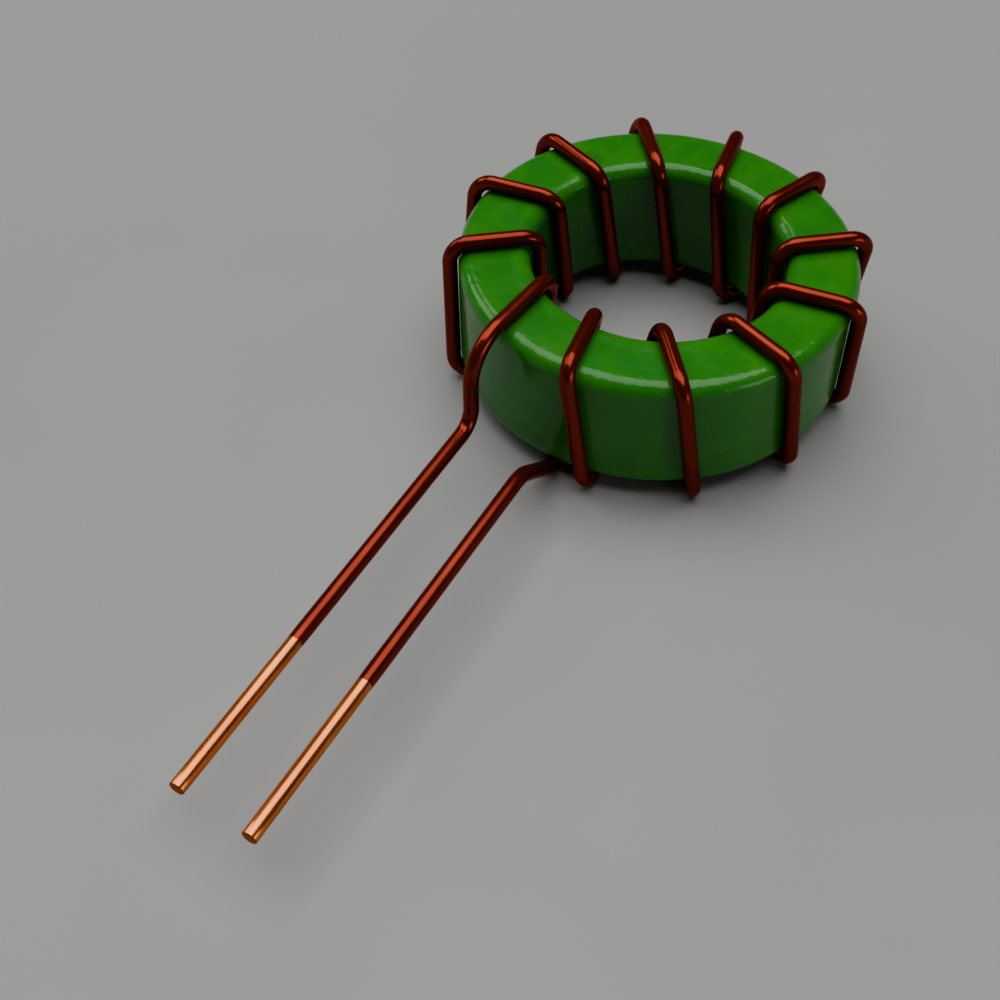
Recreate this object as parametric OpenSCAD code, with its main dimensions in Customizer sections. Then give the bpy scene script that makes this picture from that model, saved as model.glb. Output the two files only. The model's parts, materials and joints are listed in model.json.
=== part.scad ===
// Toroidal inductor: a coated ring core wound with one stiff enamelled copper wire.
// It lies flat on its winding, with two straight parallel leads running out on one side.
// Millimetres. The ring's axis is vertical, the leads point along -Y, and the origin is
// at the middle of the part's outline, on the surface that the winding stands on.

/* [Core] */
// Outer diameter of the coated core
core_d = 25; // [22:0.5:30]
// Diameter of the hole through the core
hole_d = 15.9; // [13:0.1:17]
// Height of the core
core_h = 8.2; // [6:0.1:12]
// Radius on the core's four round edges
core_edge_r = 1; // [0.4:0.05:1.2]

/* [Wire] */
// Diameter of the copper conductor
copper_d = 0.9; // [0.5:0.05:1.1]
// Thickness of the enamel film on the conductor
enamel_t = 0.025; // [0.015:0.005:0.05]
// Centreline radius of the bends at the corners of each turn
bend_r = 1.25; // [1.2:0.05:1.6]

/* [Winding] */
// Number of times that the wire passes through the hole
turns = 12; // [8:1:16]
// Clearance between the wire and the core's flat faces and hole
seat_gap = 0.05; // [0.02:0.01:0.2]
// Clearance between the wire and the core's outer wall
rim_gap = 0.1; // [0.05:0.01:0.4]
// Direction of the first turn's outer corner, in degrees from +X
start_angle = 241.4; // [238:0.1:246]
// How far the first turn's inner corner leans on past its regular place, in degrees
first_lean = 1.6; // [0:0.1:5]
// Centreline radius of the first turn's bend into the hole
first_bend_r = 1.55; // [1.2:0.05:2]

/* [Leads] */
// Distance from the core's rim to the tip of the first lead
lead_length = 30.2; // [20:0.1:50]
// How much farther the last lead reaches than the first
last_lead_extra = 0.35; // [0:0.05:1]
// Length at each tip that is stripped of enamel
strip_length = 10; // [4:0.5:12]
// Distance between the two leads, centre to centre
lead_pitch = 4.65; // [3:0.05:6]
// Sideways distance from the ring's axis to the middle of the pair of leads
lead_offset = 2.83; // [2:0.01:4]
// How far below the core's mid-height both leads run
lead_drop = 1.25; // [0.5:0.05:2]
// How far outside the core's rim the first lead comes down
first_lead_out = 1.8; // [1.4:0.05:3]
// Centreline radius of the loose bend where the first lead comes off the top
loose_bend_r = 2.8; // [1.5:0.1:3]
// How far inside the core's rim the last lead starts to rise from the underside
last_lead_in = 0.1; // [0.05:0.05:0.3]
// How far to the side of its straight run the last lead leaves the underside
last_lead_side = 0.15; // [0:0.05:0.3]
// Length over which the last lead rises to the height of the first
last_lead_rise = 4.05; // [3.9:0.05:6]
// Centreline radius of the two bends of that rise
last_bend_r = 2.2; // [1.2:0.1:2.3]

/* [Smoothness] */
// Number of flat sides around the wire
wire_sides = 10; // [8:1:12]
// Angle turned by each straight step in a bend of the wire, in degrees
bend_step = 22.5; // [18:0.5:45]

/* [Hidden] */
$fn = 96;

core_r = core_d / 2;
hole_r = hole_d / 2;
copper_r = copper_d / 2;
wire_r = copper_r + enamel_t;

// A round wire with flat sides keeps its sectional area when its corners lie this much outside
corner_scale = sqrt(PI / (wire_sides / 2 * sin(360 / wire_sides)));

// Centreline of the winding: outer and inner radius, and height above and below mid-height
wind_ro = core_r + rim_gap + wire_r;
wind_ri = hole_r - seat_gap - wire_r;
wind_z = core_h / 2 + seat_gap + wire_r;

// The wire keeps one slope all the way round the section, so each stretch moves on around
// the ring in proportion to its length over its distance from the ring's axis
face_share = (wind_ro - wind_ri) / ((wind_ro + wind_ri) / 2);
hole_share = 2 * wind_z / wind_ri;
rim_share = 2 * wind_z / wind_ro;
turn_angle = 360 / turns;
slope = turn_angle / (2 * face_share + hole_share + rim_share);
face_angle = slope * face_share;
hole_angle = slope * hole_share;

// Leads
first_x = -lead_offset - lead_pitch / 2;
last_x = -lead_offset + lead_pitch / 2;
lead_z = -lead_drop;
first_tip_y = -core_r - lead_length;
last_tip_y = first_tip_y - last_lead_extra;
first_strip_y = first_tip_y + strip_length;
last_strip_y = last_tip_y + strip_length;

// Shift from the ring's centre to the part's origin
origin_shift = [0, -(last_tip_y + wind_ro + wire_r) / 2, wind_z + wire_r];

function unit(v) = v / norm(v);
function polar(r, angle, z) = [r * cos(angle), r * sin(angle), z];

// The four corners of one turn, from the top of the rim, over the top, down the hole
// and out along the underside
function turn_corners(start, lean) = [
    polar(wind_ro, start, wind_z),
    polar(wind_ri, start - face_angle - lean, wind_z),
    polar(wind_ri, start - face_angle - hole_angle, -wind_z),
    polar(wind_ro, start - 2 * face_angle - hole_angle, -wind_z)
];

// All regular corners in order, without the first and the last, which belong to the leads
wound = [
    for (n = [0 : turns - 1])
        each turn_corners(start_angle - n * turn_angle, n == 0 ? first_lean : 0)
];
regular = [for (i = [1 : len(wound) - 2]) wound[i]];

// Corners of the wire from one lead's strip line to the other's, and the bend at each one
corners = concat(
    [[first_x, first_strip_y, lead_z]],
    [[first_x, -core_r - first_lead_out, lead_z]],
    [[first_x, -core_r - first_lead_out, wind_z]],
    regular,
    [[last_x - last_lead_side, -core_r + last_lead_in, -wind_z]],
    [[last_x, -core_r + last_lead_in - last_lead_rise, lead_z]],
    [[last_x, last_strip_y, lead_z]]
);
last = len(corners) - 1;
function corner_r(i) =
    i == 2 ? loose_bend_r : i == 3 ? first_bend_r : i > last - 3 ? last_bend_r : bend_r;

// Stations [point, direction] along the round bend at corner c, coming from a and going to b
function bend(a, c, b, r) =
    let (
        inward = unit(c - a),
        outward = unit(b - c),
        angle = acos(inward * outward),
        centre = c + unit(outward - inward) * r / cos(angle / 2),
        arm = unit(c - inward * r * tan(angle / 2) - centre),
        steps = max(1, round(angle / bend_step))
    )
    [
        for (k = [0 : steps])
            let (t = angle * k / steps)
            [
                centre + r * (cos(t) * arm + sin(t) * inward),
                cos(t) * inward - sin(t) * arm
            ]
    ];

stations = concat(
    [[corners[0], [0, 1, 0]]],
    [for (i = [1 : last - 1]) each bend(corners[i - 1], corners[i], corners[i + 1], corner_r(i))],
    [[corners[last], [0, -1, 0]]]
);

// Carries a side direction from one station to the next with no twist about the wire
function carry(side, from, to) =
    let (axis = cross(from, to), s = norm(axis), c = from * to)
    s < 1e-6 ? side : side * c + cross(axis, side) + axis * (axis * side) * (1 - c) / (s * s);

sides = [
    for (i = 0, side = [1, 0, 0]; i < len(stations);
         side = i + 1 < len(stations) ? carry(side, stations[i][1], stations[i + 1][1]) : side,
         i = i + 1)
        side
];

// Corner points of the wire's outline of radius r at every station, one ring after another
function rings(r) = [
    for (i = [0 : len(stations) - 1])
        let (side = sides[i], up = cross(stations[i][1], side))
        for (k = [0 : wire_sides - 1])
            let (a = 360 * k / wire_sides)
            stations[i][0] + r * corner_scale * (cos(a) * side + sin(a) * up)
];

ring_count = len(stations);
function ring_point(ring, k) = ring * wire_sides + k % wire_sides;

// Faces of one skin of the wire, looking out from it
function skin_faces(offset) = [
    for (i = [0 : ring_count - 2], k = [0 : wire_sides - 1])
        [
            offset + ring_point(i, k),
            offset + ring_point(i + 1, k),
            offset + ring_point(i + 1, k + 1),
            offset + ring_point(i, k + 1)
        ]
];
function reversed(faces) = [for (f = faces) [for (i = [len(f) - 1 : -1 : 0]) f[i]]];

// Solid wire along the whole enamelled length
module rod(r) {
    start_cap = [for (k = [0 : wire_sides - 1]) ring_point(0, k)];
    end_cap = [for (k = [wire_sides - 1 : -1 : 0]) ring_point(ring_count - 1, k)];
    polyhedron(rings(r), concat(skin_faces(0), [start_cap, end_cap]));
}

// Film between two radii along the whole enamelled length, open at both ends
module film(outer_r, inner_r) {
    inner = ring_count * wire_sides;
    function end_faces(ring) = [
        for (k = [0 : wire_sides - 1])
            [
                ring_point(ring, k),
                ring_point(ring, k + 1),
                inner + ring_point(ring, k + 1),
                inner + ring_point(ring, k)
            ]
    ];
    polyhedron(
        concat(rings(outer_r), rings(inner_r)),
        concat(
            skin_faces(0),
            reversed(skin_faces(inner)),
            end_faces(0),
            reversed(end_faces(ring_count - 1))
        )
    );
}

module stripped_end(x, strip_y) {
    translate([x, strip_y, lead_z])
        rotate([90, 0, 0])
            cylinder(r = copper_r, h = strip_length);
}

// Section of the core with its four round edges
module core_section() {
    wall = core_r - hole_r;
    translate([hole_r, -core_h / 2 + core_edge_r])
        square([wall, core_h - 2 * core_edge_r]);
    translate([hole_r + core_edge_r, -core_h / 2])
        square([wall - 2 * core_edge_r, core_h]);
    for (x = [hole_r + core_edge_r, core_r - core_edge_r], y = [-1, 1])
        translate([x, y * (core_h / 2 - core_edge_r)])
            circle(r = core_edge_r);
}

module toroid_core() {
    color([0.13, 0.45, 0.02])
        translate(origin_shift)
            rotate_extrude()
                core_section();
}

module copper_wire() {
    color([0.8, 0.5, 0.4])
        translate(origin_shift) {
            rod(copper_r);
            stripped_end(first_x, first_strip_y);
            stripped_end(last_x, last_strip_y);
        }
}

module wire_enamel() {
    color([0.4, 0.05, 0.02])
        translate(origin_shift)
            film(wire_r, copper_r);
}

toroid_core();
copper_wire();
wire_enamel();
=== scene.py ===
"""Looks of a toroidal inductor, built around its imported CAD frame.

A glossy green ring core, the solid copper conductor that is wound through it, and the dark red
enamel film on that conductor. Everything is in metres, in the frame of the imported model.
"""

import json
import math
from collections import namedtuple

import bpy
import numpy as np
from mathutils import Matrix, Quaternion, Vector, noise


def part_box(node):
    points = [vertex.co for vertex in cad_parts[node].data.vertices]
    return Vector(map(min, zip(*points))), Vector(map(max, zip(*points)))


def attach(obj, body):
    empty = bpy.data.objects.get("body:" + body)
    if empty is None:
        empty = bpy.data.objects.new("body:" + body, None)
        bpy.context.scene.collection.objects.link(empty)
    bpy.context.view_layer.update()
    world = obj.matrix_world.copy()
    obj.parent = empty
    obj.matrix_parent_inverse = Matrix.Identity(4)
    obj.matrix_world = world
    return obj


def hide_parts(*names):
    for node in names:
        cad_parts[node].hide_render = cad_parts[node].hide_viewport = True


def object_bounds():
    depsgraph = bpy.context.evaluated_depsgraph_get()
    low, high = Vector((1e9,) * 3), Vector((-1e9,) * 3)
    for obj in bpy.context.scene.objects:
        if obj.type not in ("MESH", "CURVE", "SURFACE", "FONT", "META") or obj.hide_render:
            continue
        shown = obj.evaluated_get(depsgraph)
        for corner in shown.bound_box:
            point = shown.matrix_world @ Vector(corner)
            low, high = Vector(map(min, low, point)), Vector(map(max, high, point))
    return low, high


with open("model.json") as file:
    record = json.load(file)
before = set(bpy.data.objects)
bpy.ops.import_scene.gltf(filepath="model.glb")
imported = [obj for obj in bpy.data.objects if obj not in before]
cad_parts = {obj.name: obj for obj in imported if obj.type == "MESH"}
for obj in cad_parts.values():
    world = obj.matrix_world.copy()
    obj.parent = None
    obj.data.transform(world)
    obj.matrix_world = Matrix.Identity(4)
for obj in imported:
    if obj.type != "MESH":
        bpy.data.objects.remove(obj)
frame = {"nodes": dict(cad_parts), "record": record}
cad_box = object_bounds()

MM = 0.001


# ---------------------------------------------------------------- sizes

def mesh_points(node):
    """The vertices of a CAD node."""
    vertices = frame["nodes"][node].data.vertices
    points = np.zeros(len(vertices) * 3)
    vertices.foreach_get("co", points)
    return points.reshape(-1, 3)


# Core, from the frame
core_low, core_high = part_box("toroid_core")
CENTRE = np.array((core_low + core_high) / 2)
CORE_R = (core_high.x - core_low.x) / 2
CORE_H = core_high.z - core_low.z
HOLE_R = float(np.hypot(*(mesh_points("toroid_core") - CENTRE).T[:2]).min())

# Stripped ends, from the record's mounts; their middles are given from the core's centre
mounts = {mount["name"]: mount for mount in frame["record"]["mounts"]}
first_lead, last_lead = mounts["first_lead"], mounts["last_lead"]
COPPER_R = first_lead["dims"]["r_mm"] * MM
STRIP_LENGTH = first_lead["dims"]["length_mm"] * MM
FIRST_X, FIRST_END_Y, LEAD_Z = np.array(first_lead["pos_m"]) - CENTRE
LAST_X, LAST_END_Y = (np.array(last_lead["pos_m"]) - CENTRE)[:2]

# These repeat sizes of the CAD source that the frame doesn't hold; the angles are in degrees
ENAMEL_T = 0.025 * MM
TURNS = 12
SEAT_GAP = 0.05 * MM
START_ANGLE = 241.4
FIRST_LEAN = 1.6
BEND_R = 1.25 * MM
FIRST_BEND_R = 1.55 * MM
LOOSE_BEND_R = 2.8 * MM
LAST_BEND_R = 2.2 * MM
FIRST_LEAD_OUT = 1.8 * MM
LAST_LEAD_IN = 0.1 * MM
LAST_LEAD_SIDE = 0.15 * MM
LAST_LEAD_RISE = 4.05 * MM

# These two are a little smaller than the CAD source's 1 mm and 0.1 mm
CORE_EDGE_R = 0.87 * MM
RIM_GAP = 0.03 * MM

# Centreline of the winding: outer and inner radius, and height above and below mid-height
WIRE_R = COPPER_R + ENAMEL_T
WIND_RO = CORE_R + RIM_GAP + WIRE_R
WIND_RI = HOLE_R - SEAT_GAP - WIRE_R
WIND_Z = CORE_H / 2 + SEAT_GAP + WIRE_R

# Unevenness of the dipped coat: the height and breadth of its slow waves and finer ripple
COAT_WAVE = 0.018 * MM
COAT_WAVE_SIZE = 5.5 * MM
COAT_RIPPLE = 0.006 * MM
COAT_RIPPLE_SIZE = 1.6 * MM
COAT_WAVE_SHIFT = 50 * MM       # takes the waves from another place in the noise
COAT_SINK = 0.6                 # share of the waves' height by which the coat lies lower
COAT_MAX_LIFT = 0.008 * MM
WAVE_GAIN = 1.3                 # brings the sum of two noises to about -1 to 1

# Ends of the film, where a knife stripped it
FILM_GAP = 0.001 * MM           # hair of room between the film's inside and the conductor
FILM_TAPER = 0.10 * MM          # length over which the film thins out
FILM_END_SHARE = 0.35           # share of its thickness that is left at the end
FILM_RAGGED = 0.05 * MM         # how far its edge wanders
FILM_RAGGED_RATE = 2.2          # how quickly it wanders round the wire

# Cut tips of the conductor
TIP_ROUND = 0.05 * MM           # how far the rim is rounded back
TIP_RIDGE = 0.02 * MM           # low ridge that the cutter leaves across the face
# Rings from the rim inwards: share of the copper's radius, of the rounding, and of the ridge
TIP_RINGS = (
    (1.0, 1.0, 0.0),
    (0.975, 0.45, 0.0),
    (0.92, 0.0, 0.0),
    (0.72, 0.0, 1.0),
    (0.45, 0.0, 1.0),
    (0.18, 0.0, 1.0),
)

# Fineness of the meshes
CORE_STEPS = 360                # sections round the core
EDGE_STEPS = 12                 # steps in each of its round edges
FLAT_STEP = 0.6 * MM
MIN_FLAT_STEPS = 2
WIRE_SIDES = 24
BEND_STEP = 6.0                 # degrees
MIN_BEND_STEPS = 3
STRAIGHT_STEP = 0.8 * MM
SHARP_ANGLE = 45.0              # degrees
PARALLEL = 1e-12                # squared sine below which two directions count as one


# ---------------------------------------------------------------- mesh helpers

def new_piece(name, points, faces, attributes=None):
    """A smooth mesh piece from points (n, 3) and faces, with float or vector point attributes."""
    mesh = bpy.data.meshes.new(name)
    mesh.from_pydata([tuple(p) for p in points], [], [tuple(f) for f in faces])
    for key, values in (attributes or {}).items():
        values = np.asarray(values, np.float32)
        kind, field = ("FLOAT", "value") if values.ndim == 1 else ("FLOAT_VECTOR", "vector")
        mesh.attributes.new(key, kind, "POINT").data.foreach_set(field, values.ravel())
    mesh.polygons.foreach_set("use_smooth", [True] * len(mesh.polygons))
    mesh.set_sharp_from_angle(angle=math.radians(SHARP_ANGLE))
    mesh.update()
    piece = bpy.data.objects.new(name, mesh)
    bpy.context.scene.collection.objects.link(piece)
    return piece


def grid_faces(rings, sides, offset=0, close_rings=False, flip=False):
    """Quads between successive rings of points, each ring closed on itself."""
    faces = []
    for i in range(rings if close_rings else rings - 1):
        a, b = offset + i * sides, offset + (i + 1) % rings * sides
        for k in range(sides):
            n = (k + 1) % sides
            quad = (a + k, b + k, b + n, a + n)
            faces.append(quad[::-1] if flip else quad)
    return faces


def by_point(values):
    """Values of rings of points, as one row for each point."""
    return values.reshape(-1, *values.shape[2:])


# ---------------------------------------------------------------- core

def core_profile():
    """Rows round the core's section: radius, height, normal's radius and height, 1 on an edge."""
    middle_r = (CORE_R + HOLE_R) / 2
    flat_x, flat_z = (CORE_R - HOLE_R) / 2 - CORE_EDGE_R, CORE_H / 2 - CORE_EDGE_R
    # For each quarter turn: the corner that is rounded, and the way along the flat after it,
    # which is the top, the hole, the underside and last the outer wall
    quarters = (
        ((1, 1), (-1, 0)),
        ((-1, 1), (0, -1)),
        ((-1, -1), (1, 0)),
        ((1, -1), (0, 1)),
    )
    profile = []
    for number, (corner, along) in enumerate(quarters):
        x, z = corner[0] * flat_x, corner[1] * flat_z
        for k in range(EDGE_STEPS + 1):
            a = math.radians(90 * number + 90 * k / EDGE_STEPS)
            c, s = math.cos(a), math.sin(a)
            profile.append((middle_r + x + CORE_EDGE_R * c, z + CORE_EDGE_R * s, c, s, 1.0))
        start_r, start_z, *normal, _ = profile[-1]
        length = 2 * (flat_x if along[0] else flat_z)
        steps = max(MIN_FLAT_STEPS, round(length / FLAT_STEP))
        for k in range(1, steps):
            d = length * k / steps
            profile.append((start_r + along[0] * d, start_z + along[1] * d, *normal, 0.0))
    return np.array(profile)


def wave(point, size):
    """Smooth noise with features of that size and, half as strong, others half as large."""
    p = Vector(point) / size
    return (noise.noise(p) + noise.noise(p * 2) / 2) * WAVE_GAIN


def build_core():
    """The ring with its dipped coat, a little uneven and mostly just below its full size."""
    profile = core_profile()
    points = []
    for i in range(CORE_STEPS):
        a = 2 * math.pi * i / CORE_STEPS
        c, s = math.cos(a), math.sin(a)
        for r, z, normal_r, normal_z, _ in profile:
            p = np.array((r * c, r * s, z))
            normal = np.array((normal_r * c, normal_r * s, normal_z))
            slow = COAT_WAVE * (wave(p + COAT_WAVE_SHIFT, COAT_WAVE_SIZE) - COAT_SINK)
            fine = COAT_RIPPLE * wave(p, COAT_RIPPLE_SIZE)
            points.append(CENTRE + p + normal * min(slow + fine, COAT_MAX_LIFT))
    faces = grid_faces(CORE_STEPS, len(profile), close_rings=True)
    return new_piece("core_body", points, faces, {"edge": np.tile(profile[:, 4], CORE_STEPS)})


# ---------------------------------------------------------------- wire path

# Places along the wire, from the core's centre: the centreline's points and directions, the
# directions to the middle of the bend, and how strong the bend is there
Stations = namedtuple("Stations", "points directions inwards bent")

# What the last two are where the wire is straight
STRAIGHT = (np.zeros(3), 0.0)

# Directions of the wire on its first and its last lead
TO_CORE = np.array((0.0, 1.0, 0.0))
FROM_CORE = np.array((0.0, -1.0, 0.0))


def polar(r, degrees, z):
    a = math.radians(degrees)
    return np.array((r * math.cos(a), r * math.sin(a), z))


def unit(v):
    return v / np.linalg.norm(v)


def lengths(points):
    """How far each point lies along the line that they make."""
    return np.concatenate([[0.0], np.cumsum(np.linalg.norm(np.diff(points, axis=0), axis=1))])


def wire_corners():
    """Corners of the centreline from the first strip line to the last, and their bend radii.

    The wire keeps one slope all the way round the section, so each stretch moves on around the
    ring in proportion to its length over its distance from the ring's axis.
    """
    face_share = (WIND_RO - WIND_RI) / ((WIND_RO + WIND_RI) / 2)
    hole_share = 2 * WIND_Z / WIND_RI
    rim_share = 2 * WIND_Z / WIND_RO
    turn = 360 / TURNS
    slope = turn / (2 * face_share + hole_share + rim_share)
    face, hole = slope * face_share, slope * hole_share
    wound = []
    for n in range(TURNS):
        start, lean = START_ANGLE - n * turn, FIRST_LEAN if n == 0 else 0
        wound += [
            polar(WIND_RO, start, WIND_Z),
            polar(WIND_RI, start - face - lean, WIND_Z),
            polar(WIND_RI, start - face - hole, -WIND_Z),
            polar(WIND_RO, start - 2 * face - hole, -WIND_Z),
        ]
    # The leads' own corners take the place of the first and the last regular one
    first_y, last_y = -CORE_R - FIRST_LEAD_OUT, -CORE_R + LAST_LEAD_IN
    corners = [
        np.array((FIRST_X, FIRST_END_Y + STRIP_LENGTH / 2, LEAD_Z)),
        np.array((FIRST_X, first_y, LEAD_Z)),
        np.array((FIRST_X, first_y, WIND_Z)),
        *wound[1:-1],
        np.array((LAST_X - LAST_LEAD_SIDE, last_y, -WIND_Z)),
        np.array((LAST_X, last_y - LAST_LEAD_RISE, LEAD_Z)),
        np.array((LAST_X, LAST_END_Y + STRIP_LENGTH / 2, LEAD_Z)),
    ]
    # All bends are alike but the one above the first lead, the next one and the last lead's two
    radii = [BEND_R] * len(corners)
    radii[2:4] = LOOSE_BEND_R, FIRST_BEND_R
    radii[-3:-1] = LAST_BEND_R, LAST_BEND_R
    return corners, radii


def straight_rows(start, end, direction):
    """Stations on a straight stretch, without its two ends."""
    steps = max(1, round(np.linalg.norm(end - start) / STRAIGHT_STEP))
    return [(start + (end - start) * k / steps, direction, *STRAIGHT) for k in range(1, steps)]


def bend_rows(before, corner, after, radius):
    """Stations on the round bend at a corner, which counts as strongest in its middle."""
    inward, outward = unit(corner - before), unit(after - corner)
    angle = math.acos(float(inward @ outward))
    centre = corner + unit(outward - inward) * radius / math.cos(angle / 2)
    arm = unit(corner - inward * radius * math.tan(angle / 2) - centre)
    steps = max(MIN_BEND_STEPS, round(math.degrees(angle) / BEND_STEP))
    rows = []
    for k in range(steps + 1):
        t = angle * k / steps
        out = math.cos(t) * arm + math.sin(t) * inward
        direction = math.cos(t) * inward - math.sin(t) * arm
        strength = math.sin(math.pi * k / steps) * min(1.0, angle)
        rows.append((centre + radius * out, direction, -out, strength))
    return rows


def wire_stations():
    """Stations along the enamelled length, from one strip line to the other."""
    corners, radii = wire_corners()
    rows = [(corners[0], TO_CORE, *STRAIGHT)]
    for before, corner, after, radius in zip(corners, corners[1:], corners[2:], radii[1:]):
        bend = bend_rows(before, corner, after, radius)
        bend_start, direction = bend[0][:2]
        rows += straight_rows(rows[-1][0], bend_start, direction)
        rows += bend
    rows += straight_rows(rows[-1][0], corners[-1], FROM_CORE)
    rows.append((corners[-1], FROM_CORE, *STRAIGHT))
    return Stations(*(np.array(column) for column in zip(*rows)))


def with_stripped_ends(stations):
    """The same stations, with those of the stripped ends before and after them."""
    points, directions, inwards, bent = stations
    # Both leads run straight on along -Y
    steps = round(STRIP_LENGTH / STRAIGHT_STEP)
    away = np.array([[0, STRIP_LENGTH * (k / steps), 0] for k in range(1, steps + 1)])
    first, last = (np.tile(directions[end], (steps, 1)) for end in (0, -1))
    no_bend, no_strength = np.zeros((steps, 3)), np.zeros(steps)
    return Stations(
        np.concatenate([(points[0] - away)[::-1], points, points[-1] - away]),
        np.concatenate([first, directions, last]),
        np.concatenate([no_bend, inwards, no_bend]),
        np.concatenate([no_strength, bent, no_strength]),
    )


# ---------------------------------------------------------------- wire

def carry(side, before, after):
    """side turned as the wire turns from one direction to the next, with no twist about it."""
    axis, cosine = np.cross(before, after), float(before @ after)
    square = float(axis @ axis)
    if square < PARALLEL:
        return side
    along_axis = axis * float(axis @ side) * (1 - cosine) / square
    return side * cosine + np.cross(axis, side) + along_axis


def sweep(stations, radius):
    """Rings of points round the stations, at one radius or one for each, and their attributes.

    along is the point's place on the wire laid out straight, and outer goes up to 1 where a
    bend stretches it most.
    """
    sides = [np.array((1.0, 0.0, 0.0))]
    for before, after in zip(stations.directions, stations.directions[1:]):
        sides.append(unit(carry(sides[-1], before, after)))
    sides = np.array(sides)
    ups = np.cross(stations.directions, sides)
    angles = 2 * np.pi * np.arange(WIRE_SIDES) / WIRE_SIDES
    c, s = np.cos(angles), np.sin(angles)
    out = c[None, :, None] * sides[:, None] + s[None, :, None] * ups[:, None]
    radius = np.broadcast_to(np.asarray(radius, float), len(sides))
    skin = CENTRE + stations.points[:, None] + out * radius[:, None, None]
    run = lengths(stations.points)[:, None]
    along = np.stack(np.broadcast_arrays(c * WIRE_R, s * WIRE_R, run), -1)
    outer = np.clip(-(out * stations.inwards[:, None]).sum(-1), 0, 1) * stations.bent[:, None]
    return skin, {"along": along, "outer": outer}


def tip_rings(rim, middle):
    """Rings that close a cut end, from its rim inwards. Both leads point along -Y."""
    out = rim - middle
    rings = []
    for share, rounding, ridge in TIP_RINGS:
        ring = middle + out * share
        from_ridge = np.clip(np.abs(out[:, 2] * share) / COPPER_R, 0, 1)
        ring[:, 1] += TIP_ROUND * rounding
        ring[:, 1] += TIP_RIDGE * ridge * from_ridge
        rings.append(ring)
    return rings


def build_copper(stations):
    """The conductor with its stripped ends and its two cut tips, where the attribute tip is 1."""
    stations = with_stripped_ends(stations)
    skin, attributes = sweep(stations, COPPER_R)
    middles = CENTRE + stations.points[[0, -1]]
    first_tip, last_tip = (tip_rings(skin[end], middles[end]) for end in (0, -1))
    body = np.array([*first_tip[::-1], *skin[1:-1], *last_tip])
    rings, added = len(body), len(TIP_RINGS) - 1

    def with_tips(values):
        """The sweep's values, with those of each end again for its tip's rings and its middle."""
        rows = [values[:1]] * added + [values] + [values[-1:]] * added
        flat = by_point(np.concatenate(rows))
        return np.concatenate([flat, flat[[0, -1]]])

    attributes = {key: with_tips(values) for key, values in attributes.items()}
    tip = np.zeros((rings, WIRE_SIDES))
    tip[:added] = tip[-added:] = 1
    attributes["tip"] = np.concatenate([by_point(tip), [1, 1]])

    faces = grid_faces(rings, WIRE_SIDES, flip=True)
    last_ring, first_middle = (rings - 1) * WIRE_SIDES, rings * WIRE_SIDES
    for k in range(WIRE_SIDES):
        n = (k + 1) % WIRE_SIDES
        faces.append((first_middle, n, k))
        faces.append((first_middle + 1, last_ring + k, last_ring + n))
    return new_piece("conductor", np.concatenate([by_point(body), middles]), faces, attributes)


def build_enamel(stations):
    """The film, open at both ends, where it is thinner and a little ragged."""
    rings = len(stations.points)
    run = lengths(stations.points)
    from_end = np.clip(np.minimum(run, run[-1] - run) / FILM_TAPER, 0, 1)
    thickness = (ENAMEL_T - FILM_GAP) * (FILM_END_SHARE + (1 - FILM_END_SHARE) * from_end)
    outer, outer_attributes = sweep(stations, COPPER_R + FILM_GAP + thickness)
    inner, inner_attributes = sweep(stations, COPPER_R + FILM_GAP)
    for ring in (0, rings - 1):
        for k in range(WIRE_SIDES):
            a = 2 * math.pi * k / WIRE_SIDES
            place = Vector((FILM_RAGGED_RATE * math.cos(a), FILM_RAGGED_RATE * math.sin(a), ring))
            shift = FILM_RAGGED * (0.5 + 0.5 * noise.noise(place))
            outer[ring, k, 1] += shift
            inner[ring, k, 1] += shift
    attributes = {
        key: by_point(np.concatenate([outer_attributes[key], inner_attributes[key]]))
        for key in outer_attributes
    }
    inside = rings * WIRE_SIDES
    faces = grid_faces(rings, WIRE_SIDES, flip=True) + grid_faces(rings, WIRE_SIDES, inside)
    for ring, flip in ((0, True), (rings - 1, False)):
        for k in range(WIRE_SIDES):
            a, b = ring * WIRE_SIDES + k, ring * WIRE_SIDES + (k + 1) % WIRE_SIDES
            quad = (a, b, inside + b, inside + a)
            faces.append(quad[::-1] if flip else quad)
    return new_piece("enamel_film", by_point(np.concatenate([outer, inner])), faces, attributes)


# ---------------------------------------------------------------- materials

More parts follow.
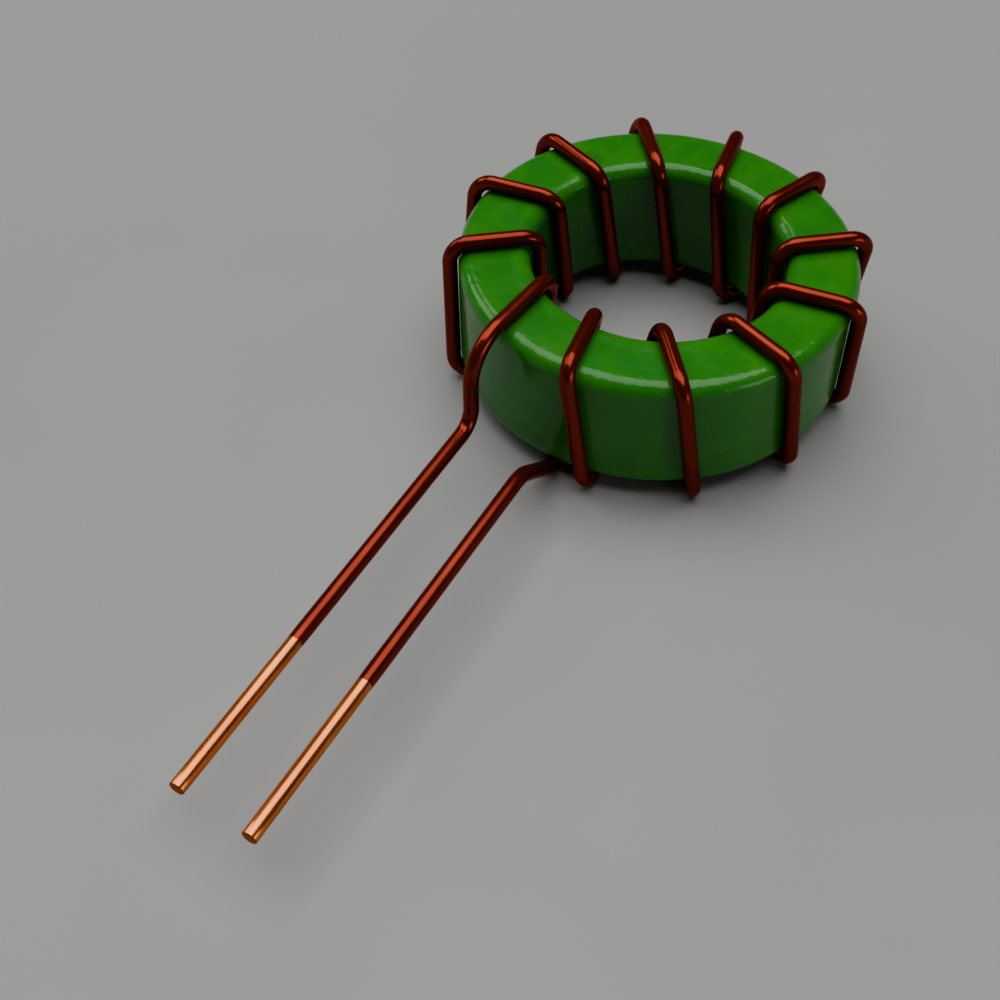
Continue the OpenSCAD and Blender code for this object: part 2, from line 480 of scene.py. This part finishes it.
class Nodes:
    """Short ways to build one material's node tree. A value may be a number, tuple or socket."""

    def __init__(self, name, **sockets):
        self.material = bpy.data.materials.new(name)
        self.material.use_nodes = True
        self.tree = self.material.node_tree
        self.shader = self.tree.nodes["Principled BSDF"]
        self.to(**sockets)

    def link(self, value, socket):
        if isinstance(value, bpy.types.NodeSocket):
            self.tree.links.new(value, socket)
        else:
            socket.default_value = value

    def to(self, **sockets):
        """Sets sockets of the shader, with _ for the spaces in their names."""
        for key, value in sockets.items():
            self.link(value, self.shader.inputs[key.replace("_", " ")])
        return self.material

    def node(self, kind, output=0, settings=None, **inputs):
        """An output of a new node. Its inputs go by name, or by number as i0, i1 and so on."""
        made = self.tree.nodes.new("ShaderNode" + kind)
        for key, value in (settings or {}).items():
            setattr(made, key, value)
        for key, value in inputs.items():
            numbered = key[0] == "i" and key[1:].isdigit()
            self.link(value, made.inputs[int(key[1:]) if numbered else key])
        return made.outputs[output]

    def place(self):
        return self.node("TexCoord", "Object")

    def attribute(self, name, output="Vector"):
        return self.node("Attribute", output, {"attribute_name": name})

    def noise(self, vector, scale, detail=2.0, roughness=0.5, distortion=0.0):
        """Cloudy noise with about scale features to the metre."""
        return self.node("TexNoise", "Fac", Vector=vector, Scale=scale, Detail=detail,
                         Roughness=roughness, Distortion=distortion)

    def drawn(self, vector, scales, detail=2.0, roughness=0.5):
        """Noise with a scale for each axis, for marks that run one way."""
        stretched = self.node("VectorMath", 0, {"operation": "MULTIPLY"}, i0=vector, i1=scales)
        return self.noise(stretched, 1.0, detail, roughness)

    def spots(self, vector, scale):
        return self.node("TexVoronoi", "Distance", Vector=vector, Scale=scale)

    def remap(self, value, low, high, to_low=0.0, to_high=1.0):
        """value taken from low .. high to to_low .. to_high, with soft ends."""
        return self.node("MapRange", 0, {"interpolation_type": "SMOOTHSTEP"},
                         i0=value, i1=low, i2=high, i3=to_low, i4=to_high)

    def times(self, a, b):
        return self.node("Math", 0, {"operation": "MULTIPLY"}, i0=a, i1=b)

    def mix(self, share, a, b):
        """Colour a with that share of colour b."""
        return self.node("Mix", 2, {"data_type": "RGBA"}, i0=share, i6=a, i7=b)

    def bump(self, height, distance, **under):
        """A normal for a relief of height times distance, over Normal where that is given."""
        return self.node("Bump", 0, None, Height=height, Distance=distance, **under)


def colour(r, g, b):
    """A colour in linear light."""
    return (r, g, b, 1.0)


def coating_material():
    """Glossy green epoxy over a sintered ring: cloudy, orange-peeled, thinner on the edges."""
    n = Nodes("core_coating", IOR=1.36, Specular_Tint=colour(0.9, 1.0, 0.9))
    deep, fresh = colour(0.0086, 0.139, 0.0036), colour(0.015, 0.168, 0.0029)
    speck, pale = colour(0.0064, 0.114, 0.0029), colour(0.0186, 0.2, 0.0036)
    pit = colour(0.003, 0.057, 0.002)
    place, edge = n.place(), n.attribute("edge", "Fac")

    cloudy = n.noise(place, scale=330, detail=3, roughness=0.55, distortion=0.4)
    grain = n.remap(n.noise(place, scale=2100, detail=3, roughness=0.6), 0.35, 0.7)
    thin = n.times(edge, n.remap(n.noise(place, scale=700), 0.4, 0.62))
    dots = n.remap(n.spots(place, scale=900), 0.035, 0.075, to_low=1.0, to_high=0.0)
    pits = n.times(dots, n.remap(n.noise(place, scale=520, detail=1), 0.56, 0.62))
    base = n.mix(n.remap(cloudy, 0.34, 0.66), deep, fresh)
    base = n.mix(n.times(grain, 0.22), base, speck)
    base = n.mix(n.times(thin, 0.25), base, pale)
    base = n.mix(n.times(pits, 0.6), base, pit)

    rough = n.remap(n.noise(place, scale=480, detail=3), 0.3, 0.7, to_low=0.16, to_high=0.23)
    normal = n.bump(n.noise(place, scale=1150), 0.016 * MM)
    normal = n.bump(n.times(edge, n.noise(place, scale=1900)), 0.03 * MM, Normal=normal)
    normal = n.bump(n.noise(place, scale=4200), 0.0015 * MM, Normal=normal)
    normal = n.bump(pits, -0.01 * MM, Normal=normal)
    return n.to(Base_Color=base, Roughness=rough, Normal=normal)


def enamel_material():
    """Dark red wire enamel, rubbed on the outside of its bends; drawn copper glints through it."""
    n = Nodes("wire_enamel", Metallic=0.8, Specular_IOR_Level=0.25,
              Specular_Tint=colour(0.7, 0.34, 0.24), Coat_Weight=0.07, Coat_Roughness=0.15)
    deep, warm = colour(0.139, 0.0113, 0.0032), colour(0.179, 0.0172, 0.0052)
    rubbed = colour(0.21, 0.0295, 0.0088)
    along, outer = n.attribute("along"), n.attribute("outer", "Fac")

    lines = n.drawn(along, (7000.0, 7000.0, 220.0), detail=3, roughness=0.6)
    slow = n.drawn(along, (260.0, 260.0, 130.0), detail=3, roughness=0.55)
    rub = n.times(outer, n.remap(lines, 0.45, 0.7))
    base = n.mix(n.remap(slow, 0.35, 0.65), deep, warm)
    base = n.mix(n.times(rub, 0.35), base, rubbed)

    rough = n.remap(lines, 0.3, 0.75, to_low=0.15, to_high=0.25)
    normal = n.bump(lines, 0.009 * MM)
    normal = n.bump(n.drawn(along, (900.0, 900.0, 500.0)), 0.012 * MM, Normal=normal)
    return n.to(Base_Color=base, Roughness=rough, Normal=normal)


def copper_material():
    """Bare drawn copper, scraped lengthwise where it was stripped, with painted shade darkening
    its cut tips.
    """
    n = Nodes("bare_copper", Metallic=1.0, Specular_Tint=colour(0.9, 0.6, 0.4))
    warm, bright = colour(0.61, 0.165, 0.04), colour(0.72, 0.218, 0.06)
    # cut is painted shade: a dark copper colour that darkens the faces of the cut tips
    scraped, cut = colour(0.44, 0.1, 0.02), colour(0.17, 0.036, 0.01)
    along, tip = n.attribute("along"), n.attribute("tip", "Fac")

    lines = n.drawn(along, (11000.0, 11000.0, 170.0), detail=4, roughness=0.65)
    slow = n.drawn(along, (600.0, 600.0, 300.0), detail=3, roughness=0.55)
    shear = n.drawn(n.place(), (1500.0, 1.0, 14000.0), detail=3, roughness=0.6)
    base = n.mix(n.remap(slow, 0.35, 0.65), warm, bright)
    base = n.mix(n.times(n.remap(lines, 0.5, 0.72), 0.35), base, scraped)
    # Painted shade: the cut tips' faces take the dark colour cut
    base = n.mix(n.times(tip, 0.85), base, cut)

    rough = n.remap(lines, 0.3, 0.75, to_low=0.2, to_high=0.34)
    marks = n.node("Mix", 0, {"data_type": "FLOAT"}, i0=tip, i2=lines, i3=shear)
    normal = n.bump(marks, 0.004 * MM)
    normal = n.bump(n.drawn(along, (1100.0, 1100.0, 150.0)), 0.007 * MM, Normal=normal)
    return n.to(Base_Color=base, Roughness=rough, Normal=normal)


def floor_material():
    """Plain pale studio board with a faint unevenness."""
    n = Nodes("floor_board", IOR=1.4)
    place = n.place()
    darker, lighter = colour(0.251, 0.251, 0.247), colour(0.269, 0.269, 0.265)
    base = n.mix(n.remap(n.noise(place, scale=18, detail=3), 0.3, 0.7), darker, lighter)
    rough = n.remap(n.noise(place, scale=60), 0.3, 0.7, to_low=0.6, to_high=0.75)
    normal = n.bump(n.noise(place, scale=900, detail=3), 0.004 * MM)
    return n.to(Base_Color=base, Roughness=rough, Normal=normal)


# ---------------------------------------------------------------- pieces

def finish_piece(piece, node, material):
    """Gives a piece its material, and puts it in the place of its CAD node."""
    piece.data.materials.append(material)
    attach(piece, "root")
    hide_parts(node)


wire = wire_stations()
finish_piece(build_core(), "toroid_core", coating_material())
finish_piece(build_copper(wire), "copper_wire", copper_material())
finish_piece(build_enamel(wire), "wire_enamel", enamel_material())


# ---------------------------------------------------------------- stage, light and camera

FLOOR_R = 1.5
FLOOR_RINGS = 12
FLOOR_SIDES = 64

# The world's strength near the horizon and high up, and the sines of the elevations between
# which it falls from one to the other
SKY_LOW, SKY_HIGH = 0.3, 0.05
SKY_FROM, SKY_TO = 0.02, 0.24
SKY_COLOUR = colour(0.97, 0.98, 1.0)

# The camera aims at a point in front of the core; its angles are in degrees
CAMERA_AIM = Vector(CENTRE) + Vector((-0.09, -19.68, 0.0)) * MM
CAMERA_AZIMUTH, CAMERA_ELEVATION = -60.18, 49.857
CAMERA_DISTANCE = 78.24 * MM
CAMERA_LENS, CAMERA_SENSOR = 50, 36         # in mm, as Blender takes them
CAMERA_NEAR, CAMERA_FAR = 1 * MM, 20


def build_floor():
    """A wide flat disc that the part stands on, with rings that lie closer near the part."""
    x, y, z = CENTRE[0], CENTRE[1], cad_box[0].z
    points = []
    for ring in range(FLOOR_RINGS):
        r = FLOOR_R * ((ring + 1) / FLOOR_RINGS) ** 2
        for k in range(FLOOR_SIDES):
            a = 2 * math.pi * k / FLOOR_SIDES
            points.append((x + r * math.cos(a), y + r * math.sin(a), z))
    middle = len(points)
    points.append((x, y, z))
    faces = grid_faces(FLOOR_RINGS, FLOOR_SIDES)
    faces += [(middle, k, (k + 1) % FLOOR_SIDES) for k in range(FLOOR_SIDES)]
    floor = new_piece("floor", points, faces)
    floor.data.materials.append(floor_material())


def toward(azimuth, elevation):
    """The direction at azimuth degrees from +X and elevation degrees above the floor."""
    a, e = math.radians(azimuth), math.radians(elevation)
    return Vector((math.cos(a) * math.cos(e), math.sin(a) * math.cos(e), math.sin(e)))


def stand_back(thing, aim, direction, distance, spin=0.0):
    """Puts a lamp or camera at that distance and direction from aim, facing it."""
    thing.location = aim + direction * distance
    thing.rotation_mode = "QUATERNION"
    spun = Quaternion((0, 0, 1), math.radians(spin))
    thing.rotation_quaternion = direction.to_track_quat("Z", "Y") @ spun
    bpy.context.scene.collection.objects.link(thing)


def softbox(name, azimuth, elevation, distance, width, height, radiance, spin=0.0):
    """A rectangular area light that faces the ring, as bright as radiance to look at."""
    data = bpy.data.lights.new(name, "AREA")
    data.shape, data.size, data.size_y = "RECTANGLE", width, height
    data.energy = radiance * math.pi * width * height
    lamp = bpy.data.objects.new(name, data)
    lamp.visible_camera = False
    stand_back(lamp, Vector(CENTRE), toward(azimuth, elevation), distance, spin)


def build_world():
    """A dim studio room, brighter towards the horizon."""
    world = bpy.data.worlds.new("studio")
    world.use_nodes = True
    nodes, links = world.node_tree.nodes, world.node_tree.links
    coordinates = nodes.new("ShaderNodeTexCoord")
    split = nodes.new("ShaderNodeSeparateXYZ")
    ramp = nodes.new("ShaderNodeMapRange")
    ramp.interpolation_type = "SMOOTHSTEP"
    for socket, value in zip(ramp.inputs[1:5], (SKY_FROM, SKY_TO, SKY_LOW, SKY_HIGH)):
        socket.default_value = value
    background = nodes["Background"]
    background.inputs["Color"].default_value = SKY_COLOUR
    links.new(coordinates.outputs["Generated"], split.inputs[0])
    links.new(split.outputs["Z"], ramp.inputs[0])
    links.new(ramp.outputs[0], background.inputs["Strength"])
    bpy.context.scene.world = world


def build_camera():
    """The camera at the photograph's viewing angle."""
    data = bpy.data.cameras.new("camera")
    data.lens, data.sensor_width = CAMERA_LENS, CAMERA_SENSOR
    data.clip_start, data.clip_end = CAMERA_NEAR, CAMERA_FAR
    camera = bpy.data.objects.new("camera", data)
    stand_back(camera, CAMERA_AIM, toward(CAMERA_AZIMUTH, CAMERA_ELEVATION), CAMERA_DISTANCE)
    bpy.context.scene.camera = camera


build_floor()
softbox("key_overhead", azimuth=119, elevation=79.7, distance=2.4,
        width=3.0, height=2.3, radiance=4.13, spin=-29)
softbox("side_left", azimuth=181, elevation=35, distance=2.4,
        width=1.2, height=0.9, radiance=3.78)
softbox("side_right", azimuth=352, elevation=11, distance=2.2,
        width=1.0, height=0.7, radiance=3.08)
build_world()
build_camera()
